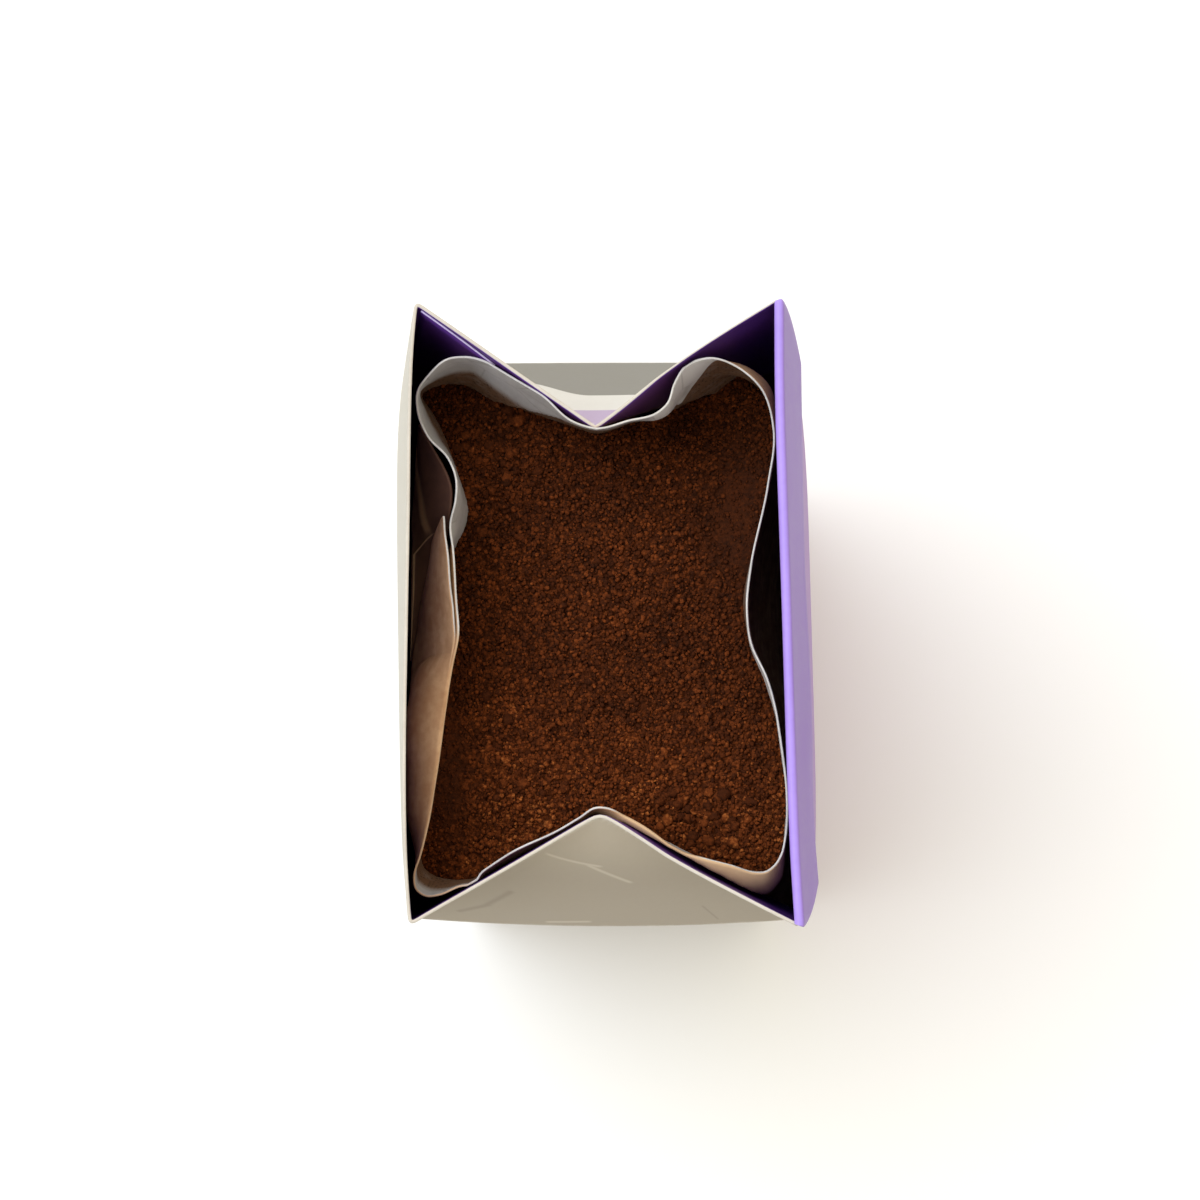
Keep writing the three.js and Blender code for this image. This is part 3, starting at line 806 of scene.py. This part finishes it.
# the pointed fold of kraft paper that stands outside the mouth on its west side, with
# x, y and drop below the rim along its upper and lower edge
pleat = {
    "top": [(-22.15, 13.8, 8.2), (-21.9, 12.2, 8.0), (-21.65, 9.9, 8.0), (-21.25, 6.4, 8.0),
            (-20.95, 2.9, 8.4), (-20.7, 0.0, 9.0), (-20.6, -3.0, 9.7), (-21.3, -7.0, 10.3),
            (-22.1, -12.6, 10.8)],
    "foot": [(-22.6, 13.9, 12.0), (-24.3, 12.2, 21.0), (-25.3, 8.7, 23.0), (-26.2, 4.3, 24.0),
             (-26.8, 0.7, 24.0), (-27.3, -2.9, 24.0), (-27.8, -6.0, 24.0), (-28.1, -10.0, 24.0),
             (-28.2, -14.0, 24.0)],
    "belly": 0.9, "steps": 30, "material": 0,
}
# the paper behind it, folded against the carton's west wall: the same kraft, painted darker as painted shade
tuck = {
    "top": [(-25.9, 27.4, 12.0), (-24.1, 24.3, 12.5), (-22.2, 21.0, 13.0), (-21.35, 18.0, 13.5),
            (-21.6, 15.0, 15.0), (-22.1, 13.0, 18.5), (-23.2, 10.5, 22.5), (-24.2, 7.0, 24.5),
            (-25.0, 3.0, 25.8), (-26.6, -5.0, 26.4)],
    "foot": [(-26.7, 27.4, 19.0), (-27.3, 24.3, 23.0), (-27.8, 21.0, 25.0), (-28.0, 18.0, 26.0),
             (-28.1, 15.0, 26.5), (-28.1, 13.0, 27.0), (-28.1, 10.5, 27.0), (-28.2, 7.0, 27.0),
             (-28.2, 3.0, 27.0), (-28.2, -5.0, 27.0)],
    "belly": 0.3, "steps": 30, "material": 3,
}


def openSpline(controls, share):
    p = [Vector(c) for c in controls]
    at = share * (len(p) - 1)
    i = min(len(p) - 2, int(at))
    t = at - i
    before = p[i - 1] if i else p[i] * 2 - p[i + 1]
    after = p[i + 2] if i + 2 < len(p) else p[i + 1] * 2 - p[i]
    square = 2 * before - 5 * p[i] + 4 * p[i + 1] - after
    cube = 3 * p[i] - before - 3 * p[i + 1] + after
    return 0.5 * (2 * p[i] + (p[i + 1] - before) * t + square * t**2 + cube * t**3)


def addFold(bm, shape):
    def place(u, v):
        p = openSpline(shape["foot"], u).lerp(openSpline(shape["top"], u), v)
        fullness = min(1, u * 6) * (0.3 + 0.7 * math.sin(math.pi * min(1, u + 0.2)))
        p += Vector((-0.75, 0, -0.65)) * shape["belly"] * math.sin(math.pi * v) * fullness
        p.x -= 0.25 * noise.noise(Vector((u * 5, v * 3, 0.4)))
        return Vector((p.x, p.y, box["rimHeight"] - p.z))

    steps = [i / shape["steps"] for i in range(shape["steps"] + 1)]
    made = shapeGrid(bm, steps, steps, place, lambda u, v: (u, v))
    for face in {face for vert in made for face in vert.link_faces}:
        face.material_index = shape["material"]


# how far above the coffee the dust on the lining reaches, in mm
dustHeights = {"all": 7.5, "cloud": 3.0, "northEast": 19.0, "southWest": 6.0, "northWest": 2.5, "west": -9.0}


def paintDust(bm):
    layer = bm.verts.layers.float.new("dust")
    for vert in bm.verts:
        x, y, z = vert.co
        cloud = noise.noise(Vector((x / 7, y / 7, 2.2)))
        there = {
            "all": 1.0, "cloud": cloud, "northEast": easeIn((x - 9) / 3) * easeIn((y - 20) / 6),
            "southWest": easeIn((-y - 31) / 5) * easeIn((-x - 10) / 8),
            "northWest": easeIn((y - 27) / 3) * easeIn(-x / 12),
            "west": easeIn((-16 - x) / 2) * easeIn((26 - y) / 4) * easeIn(y / 4),
        }
        top = sum(dustHeights[name] * share for name, share in there.items())
        above = z - (box["rimHeight"] - bagPaper["levelDrop"])
        vert[layer] = 0.1 + 0.9 * easeIn((top + 2.5 - above) / 5)


def kraftMaterial():
    material, tree, shader, _, tone = newPaper("kraftPaper", (0.75, 0.3), 800.0, 130.0, 0.3, (0.4, 0.00008))
    place = objectPlace(tree)
    streaks = makeNode(tree, "ShaderNodeMapping", {"Vector": place, "Scale": (1.0, 1.0, 2.6)}).outputs[0]
    # darker streaks down the paper
    darkStreaks = stepBetween(tree, noiseValue(tree, streaks, 260.0, 3.0, 0.6), 0.35, 0.65)
    base = blendColours(tree, tone, colour(190, 146, 104), colour(222, 182, 138))
    base = blendColours(tree, product(tree, darkStreaks, 0.35), base, colour(172, 116, 72))
    x, y, _ = splitPlace(tree, place)
    # paler on the south-east lip: painted light where the key falls on the lip
    south = product(tree, stepBetween(tree, y, -0.0265, -0.0285), stepBetween(tree, x, 0.0005, 0.003), 0.6)
    base = blendColours(tree, south, base, colour(255, 220, 170))
    tree.links.new(base, shader.inputs["Base Color"])
    return material


def tuckShadedKraftMaterial():
    # kraft painted dark brown as painted shade, with a painted highlight in a soft band and a thin painted
    # highlight along a ridge of the folds
    material, tree, shader, _, tone = newPaper("tuckKraftPaintedShade", (0.7, 0.3), 800.0, 130.0, 0.3, (0.4, 0.00008))
    u, v, _ = splitPlace(tree, blankPlace(tree))
    base = blendColours(tree, tone, colour(112, 80, 64), colour(130, 94, 74))
    away = distanceBetween(tree, calc(tree, "ADD", v, 0.06), u)
    highlightBand = product(tree, stepBetween(tree, away, 0.12, 0.02), stepBetween(tree, u, 0.58, 0.5), 0.8)
    base = blendColours(tree, highlightBand, base, colour(216, 176, 130))
    rise = calc(tree, "MULTIPLY", calc(tree, "SUBTRACT", 0.66, u), 4.5, clamp=True)
    away = distanceBetween(tree, v, calc(tree, "ADD", rise, 0.1))
    ridgeHighlight = product(tree, stepBetween(tree, away, 0.05, 0.02), stepBetween(tree, u, 0.54, 0.57), 0.85)
    base = blendColours(tree, ridgeHighlight, base, colour(230, 192, 150))
    tree.links.new(base, shader.inputs["Base Color"])
    return material


def dustFreeLitPatchShare(tree, place):
    # one corner of the lining, up to a straight slanting edge, is kept free of dust and painted near-white:
    # painted light where the direct light falls on it
    x, y, z = splitPlace(tree, place)
    lean = calc(tree, "MULTIPLY_ADD", x, -1 / 0.0075, 2.2, clamp=True)
    low = (box["rimHeight"] - 3) * mm
    height = stepBetween(tree, calc(tree, "MULTIPLY_ADD", lean, 0.024, z), low, low + 0.0005)
    side = stepBetween(tree, y, 0.0235, 0.0245)
    return product(tree, height, side, insideOf(tree, x, 0.007, 0.017, 0.0005))


def liningMaterial():
    material, tree, shader, grain, tone = newPaper("bagLining", (0.5, 0.4), 700.0, 90.0, 0.3)
    place = objectPlace(tree)
    dustFreeLitPatch = dustFreeLitPatchShare(tree, place)
    dust = product(tree, attributeValue(tree, "dust"), calc(tree, "SUBTRACT", 1.0, dustFreeLitPatch))
    cloud = calc(tree, "MULTIPLY_ADD", noiseValue(tree, place, 420.0, 4.0, 0.65), 0.7, 0.65)
    film = calc(tree, "MULTIPLY", dust, cloud, clamp=True)
    cells = makeNode(tree, "ShaderNodeTexVoronoi", {"Vector": blankPlace(tree), "Scale": 1700.0},
                     voronoi_dimensions="2D")
    size = splitPlace(tree, cells.outputs["Color"])[0]
    specks = calc(tree, "LESS_THAN", cells.outputs["Distance"], product(tree, size, size, dust, 0.4))
    creases = makeNode(tree, "ShaderNodeTexVoronoi", {"Vector": place, "Scale": 120.0},
                       feature="DISTANCE_TO_EDGE")
    fold = stepBetween(tree, creases.outputs[0], 0.03, 0.0)
    base = blendColours(tree, tone, colour(198, 199, 200), colour(222, 222, 223))
    # near-white where the direct light falls: painted light
    base = blendColours(tree, dustFreeLitPatch, base, colour(250, 250, 248))
    # darker along the crease lines: painted shade in the creases, which the bump also dents
    base = blendColours(tree, product(tree, fold, 0.3), base, colour(140, 138, 136))
    base = blendColours(tree, film, base, colour(122, 90, 66))
    base = blendColours(tree, product(tree, specks, 0.85), base, colour(56, 34, 20))
    tree.links.new(base, shader.inputs["Base Color"])
    tree.links.new(calc(tree, "MULTIPLY_ADD", film, 0.35, 0.42), shader.inputs["Roughness"])
    height = calc(tree, "MULTIPLY_ADD", fold, -1.0, product(tree, grain.outputs["Height"], 0.4))
    addBump(tree, shader, height, 0.3, 0.00012)
    return material


def cutPaperMaterial():
    # pale, but tan where the kraft side is rolled over the edge
    material, tree, shader, _, tone = newPaper("cutPaper", (0.8, 0.3), 1800.0, 200.0, 0.3, (0.3, 0.00005))
    pale = blendColours(tree, tone, colour(190, 186, 182), colour(222, 219, 216))
    x, y, _ = splitPlace(tree, objectPlace(tree))
    west = product(tree, stepBetween(tree, x, -0.0165, -0.0200), stepBetween(tree, y, -0.001, -0.004))
    south = product(tree, insideOf(tree, x, 0.002, 0.0135, 0.001), stepBetween(tree, y, -0.026, -0.028))
    rolled = calc(tree, "MAXIMUM", west, south)
    tree.links.new(blendColours(tree, rolled, pale, colour(206, 172, 136)), shader.inputs["Base Color"])
    return material


# the tuck's paper is kraft painted dark as painted shade
bagSides = [kraftMaterial(), liningMaterial(), cutPaperMaterial(), tuckShadedKraftMaterial()]
bag = finishPiece("paper_bag", makeBag(), bagSides, "inner_bag")
addWall(bag, bagPaper["thickness"], False)


# Ground coffee: a core with relief, and loose grains on top

coffee = {
    "span": (58.0, 80.0), "step": 0.215, "skirt": 6.0, "seed": 41,
    "wave": 0.9, "humps": [(15, 30, 5, 5, -4), (25, 15, 6, 14, 4.5), (-25, -22, 6, 13, 4),
                           (-14, -30, 7, 4, -2), (2, 4, 14, 18, 1.2)],
    "powder": [(20, 15, 4.5, 9.5), (-23, -20, 3.4, 12.0)],
}
# the core's bumps: one for each spot of a jittered honeycomb, with cracks between them
bumps = {
    "field": (62.0, 84.0), "gap": 0.8, "rowGap": 0.866, "jitter": 0.33, "lift": 0.22, "tilt": 0.32,
    "dome": 0.5, "crack": 0.42, "crackWidth": 0.28, "fine": 0.07, "fineSize": 3.1,
}


def hump(x, y, cx, cy, rx, ry):
    return np.exp(-(((x - cx) / rx) ** 2) - (((y - cy) / ry) ** 2))


def coffeeLevel(x, y):
    z = box["rimHeight"] - bagPaper["levelDrop"]
    z = z + coffee["wave"] * np.sin(x * 0.16 + 1.1) * np.cos(y * 0.11 - 0.4)
    for *place, rise in coffee["humps"]:
        z = z + rise * hump(x, y, *place)
    return z


def powderShare(x, y):
    # 1 where the coffee is smooth fine powder, 0 where it is grains and clumps
    east, west = [hump(x, y, *place) for place in coffee["powder"]]
    return np.clip(1.4 * np.maximum(east, west), 0, 1)


def coffeeOutline():
    # reach of the bag's inner wall at the coffee, by direction
    points = []
    for row in loopSpline(mouth, bagPaper["columns"]):
        p = bagWallPoint(row, bagPaper["levelDrop"] - row[2])
        points.append((math.atan2(p.y, p.x), math.hypot(p.x, p.y) - 0.15))
    return np.array(sorted(points)).T


outlineAngles, outlineReach = coffeeOutline()


def reachAt(x, y):
    return np.interp(np.arctan2(y, x), outlineAngles, outlineReach, period=2 * math.pi)


def bumpCentres(rng):
    gap, jitter = bumps["gap"], bumps["jitter"]
    width, length = bumps["field"]
    centres = []
    for j in range(int(length / (gap * bumps["rowGap"]))):
        for i in range(int(width / gap)):
            x = -width / 2 + (i + 0.5 * (j % 2)) * gap + rng.uniform(-jitter, jitter) * gap
            y = -length / 2 + j * gap * bumps["rowGap"] + rng.uniform(-jitter, jitter) * gap
            centres.append((x, y))
    return centres


def makeCoffeeCore():
    rng = random.Random(coffee["seed"])
    centres = bumpCentres(rng)
    tree = kdtree.KDTree(len(centres))
    for k, (x, y) in enumerate(centres):
        tree.insert((x, y, 0), k)
    tree.balance()
    lift = [rng.gauss(0, bumps["lift"]) for _ in centres]
    tilt = [(rng.gauss(0, bumps["tilt"]), rng.gauss(0, bumps["tilt"])) for _ in centres]
    tone = [rng.random() for _ in centres]

    bm = bmesh.new()
    width, length = coffee["span"]
    columns, rows = int(width / coffee["step"]), int(length / coffee["step"])
    bmesh.ops.create_grid(bm, x_segments=columns, y_segments=rows, size=0.5)
    xy = np.array([(v.co.x * width, v.co.y * length) for v in bm.verts])
    reach = reachAt(xy[:, 0], xy[:, 1])
    distance = np.maximum(1e-6, np.hypot(xy[:, 0], xy[:, 1]))
    outside = distance > reach
    xy[outside] *= (reach / distance)[outside][:, None]
    level = coffeeLevel(xy[:, 0], xy[:, 1])
    powder = powderShare(xy[:, 0], xy[:, 1])
    toneLayer = bm.verts.layers.float.new("tone")
    for k, vert in enumerate(bm.verts):
        x, y = xy[k]
        (_, first, near), (_, second, far) = tree.find_n((x, y, 0), 2)
        cx, cy = centres[first]
        dome = -bumps["dome"] * near * near + (x - cx) * tilt[first][0] + (y - cy) * tilt[first][1]
        crack = -bumps["crack"] * max(0.0, 1 - (far - near) / bumps["crackWidth"])
        size = bumps["fineSize"]
        fine = bumps["fine"] * noise.noise(Vector((x * size, y * size, 0.7)))
        rough = 1 - 0.75 * powder[k]
        vert.co = (x, y, level[k] + rough * (lift[first] + dome + crack) + fine)
        vert[toneLayer] = tone[first] * (1 - 0.6 * powder[k]) - 0.15 * powder[k]
    lost = [face for face in bm.faces if all(outside[v.index] for v in face.verts)]
    bmesh.ops.delete(bm, geom=lost, context="FACES")
    bmesh.ops.delete(bm, geom=[v for v in bm.verts if not v.link_faces], context="VERTS")
    # a skirt and a flat floor close the core below its surface
    border = [edge for edge in bm.edges if edge.is_boundary]
    made = bmesh.ops.extrude_edge_only(bm, edges=border)["geom"]
    for vert in (g for g in made if isinstance(g, bmesh.types.BMVert)):
        vert.co.z = box["rimHeight"] - bagPaper["levelDrop"] - coffee["skirt"]
    bmesh.ops.edgeloop_fill(bm, edges=[edge for edge in bm.edges if edge.is_boundary])
    bmesh.ops.recalc_face_normals(bm, faces=bm.faces)
    return bm


def grainShapes(rng, count, subdivisions):
    # angular chips: a coarse ball with every corner pushed in or out
    shapes = []
    for _ in range(count):
        bm = bmesh.new()
        bmesh.ops.create_icosphere(bm, subdivisions=subdivisions, radius=0.5)
        for vert in bm.verts:
            vert.co *= rng.uniform(0.62, 1.26)
            if subdivisions > 1:
                vert.co *= 1 + 0.22 * noise.noise(vert.co * 4 + Vector((rng.random() * 9, 0, 0)))
        bmesh.ops.scale(bm, vec=(1, rng.uniform(0.7, 1.0), rng.uniform(0.5, 0.85)), verts=bm.verts)
        bm.verts.ensure_lookup_table()
        corners = np.array([v.co[:] for v in bm.verts])
        faces = np.array([[v.index for v in f.verts] for f in bm.faces])
        shapes.append((corners, faces))
        bm.free()
    return shapes


# sizes: smallest, largest and commonest, in mm; sink: how far a grain stands out, in shares of its size;
# spots: x, y and spread of the places where the lumps lie
grains = {
    "coffee_grains": {"count": 9400, "sizes": (0.45, 1.15, 0.65), "detail": 1, "seed": 7,
                      "shy": 0.9, "sink": 0.12},
    "coffee_fines": {"count": 9800, "sizes": (0.25, 0.6, 0.4), "detail": 1, "seed": 8,
                     "shy": 0.2, "sink": 0.3},
    "coffee_lumps": {"count": 90, "sizes": (1.2, 2.1, 1.5), "detail": 2, "seed": 9,
                     "shy": 1.0, "sink": 0.12,
                     "spots": [(-19, 24, 5), (-14, 27, 4), (-20, 12, 4), (17, -27, 4), (12, -29, 4),
                               (-12, -22, 5)]},
}


def scatterGrains(name):
    kind = grains[name]
    rng = random.Random(kind["seed"])
    shapes = grainShapes(rng, 16, kind["detail"])
    width, length = coffee["span"]
    corners, faces, tones = [], [], []
    total = 0
    while len(faces) < kind["count"]:
        if "spots" in kind:
            cx, cy, spread = rng.choice(kind["spots"])
            x, y = rng.gauss(cx, spread), rng.gauss(cy, spread)
        else:
            x, y = rng.uniform(-width / 2, width / 2), rng.uniform(-length / 2, length / 2)
        size = rng.triangular(*kind["sizes"])
        if math.hypot(x, y) > float(reachAt(x, y)) - 0.35 * size:
            continue
        # fewer grains where the coffee is powder
        if rng.random() < float(powderShare(x, y)) * kind["shy"]:
            continue
        shape, shapeFaces = shapes[rng.randrange(len(shapes))]
        turn = Matrix.Rotation(rng.uniform(0, 6.28), 3, "Z") @ Matrix.Rotation(rng.gauss(0, 0.6), 3, "X")
        height = float(coffeeLevel(x, y)) + size * kind["sink"] + rng.gauss(0, 0.12)
        corners.append(shape @ np.array(turn).T * size + (x, y, height))
        faces.append(shapeFaces + total)
        tones += [rng.random() * (1 - 0.5 * float(powderShare(x, y)))] * len(shape)
        total += len(shape)
    corners, faces = np.concatenate(corners) * mm, np.concatenate(faces)
    mesh = bpy.data.meshes.new(name)
    mesh.from_pydata(corners.tolist(), [], faces.tolist())
    mesh.attributes.new("tone", "FLOAT", "POINT").data.foreach_set("value", tones)
    placePiece(name, mesh, [coffeeSkin], None)


def coffeeMaterial():
    material, tree, shader = newMaterial("groundCoffee", 0.85, 0.1)
    place = objectPlace(tree)
    patch = noiseValue(tree, place, 90.0, 3.0, 0.6)
    speckle = noiseValue(tree, place, 2200.0, 2.0, 0.6)
    mixed = calc(tree, "ADD", product(tree, attributeValue(tree, "tone"), 0.45), product(tree, patch, 0.3))
    mixed = calc(tree, "ADD", mixed, product(tree, calc(tree, "SUBTRACT", speckle, 0.3), 0.65))
    # a little paler to the south: painted light where the key reaches the coffee past the west wall
    south = stepBetween(tree, splitPlace(tree, place)[1], 0.0, -0.036)
    ramp = makeNode(tree, "ShaderNodeValToRGB", {0: calc(tree, "MULTIPLY_ADD", south, 0.15, mixed)})
    stops = ramp.color_ramp.elements
    stops[0].position, stops[0].color = 0.12, colour(42, 20, 9)
    stops[1].position, stops[1].color = 0.97, colour(186, 108, 52)
    stops.new(0.5).color = colour(80, 37, 13)
    stops.new(0.8).color = colour(124, 61, 24)
    tree.links.new(ramp.outputs[0], shader.inputs["Base Color"])
    addBump(tree, shader, noiseValue(tree, place, 2300.0, 4.0, 0.75), 0.9, 0.0003)
    return material


coffeeSkin = coffeeMaterial()
finishPiece("coffee_core", makeCoffeeCore(), [coffeeSkin], "ground_coffee")
for name in grains:
    scatterGrains(name)


# Studio: a pale floor, one soft key from the upper left, and a warm room that the camera sees as white

studio = {
    "floorSize": 8.0, "floor": (0.9, 0.9, 0.9, 1.0),
    "keyFrom": (-0.38, 0.19, 0.90), "keyStrength": 1.75, "keyColour": (0.88, 1.0, 1.2),
    "keyAngle": math.radians(46),
    "skyBright": (0.97, 0.88, 0.68, 1.0), "skyDark": (0.46, 0.43, 0.37, 1.0), "skyStrength": 1.24,
    "darkFrom": -0.6, "brightFrom": 0.15, "dimFrom": 0.15, "dimTo": 0.9, "northDim": 0.4,
}


def makeFloor():
    bm = bmesh.new()
    bmesh.ops.create_grid(bm, x_segments=8, y_segments=8, size=studio["floorSize"] / 2)
    mesh = bpy.data.meshes.new("floor")
    bm.to_mesh(mesh)
    bm.free()
    material, _, _ = newMaterial("floorPaint", 0.9, 0.0, **{"Base Color": studio["floor"]})
    mesh.materials.append(material)
    placeObject("floor", mesh)


def makeKey():
    lamp = bpy.data.lights.new("key", "SUN")
    lamp.energy = studio["keyStrength"]
    lamp.color = studio["keyColour"]
    lamp.angle = studio["keyAngle"]
    key = placeObject("key", lamp)
    key.rotation_euler = Vector(studio["keyFrom"]).to_track_quat("Z", "Y").to_euler()


def makeRoom():
    world = bpy.data.worlds.new("studio")
    world.use_nodes = True
    bpy.context.scene.world = world
    tree = world.node_tree
    tree.nodes.clear()
    # the room is bright overhead, a little less so to the north, and dim to the south
    north = splitPlace(tree, tree.nodes.new("ShaderNodeTexCoord").outputs["Generated"])[1]
    bright = stepBetween(tree, north, studio["darkFrom"], studio["brightFrom"])
    dim = stepBetween(tree, north, studio["dimFrom"], studio["dimTo"])
    share = product(tree, bright, calc(tree, "MULTIPLY_ADD", dim, -studio["northDim"], 1.0))
    sky = blendColours(tree, share, studio["skyDark"], studio["skyBright"])
    warm = makeNode(tree, "ShaderNodeBackground", {"Color": sky, "Strength": studio["skyStrength"]})
    white = makeNode(tree, "ShaderNodeBackground", {"Color": (1, 1, 1, 1), "Strength": 1.0})
    seen = makeNode(tree, "ShaderNodeLightPath").outputs["Is Camera Ray"]
    both = makeNode(tree, "ShaderNodeMixShader", {0: seen, 1: warm.outputs[0], 2: white.outputs[0]})
    makeNode(tree, "ShaderNodeOutputWorld", {0: both.outputs[0]})


makeFloor()
makeKey()
makeRoom()
bpy.context.scene.view_settings.view_transform = "Standard"
bpy.context.scene.view_settings.look = "None"
print("studio set")
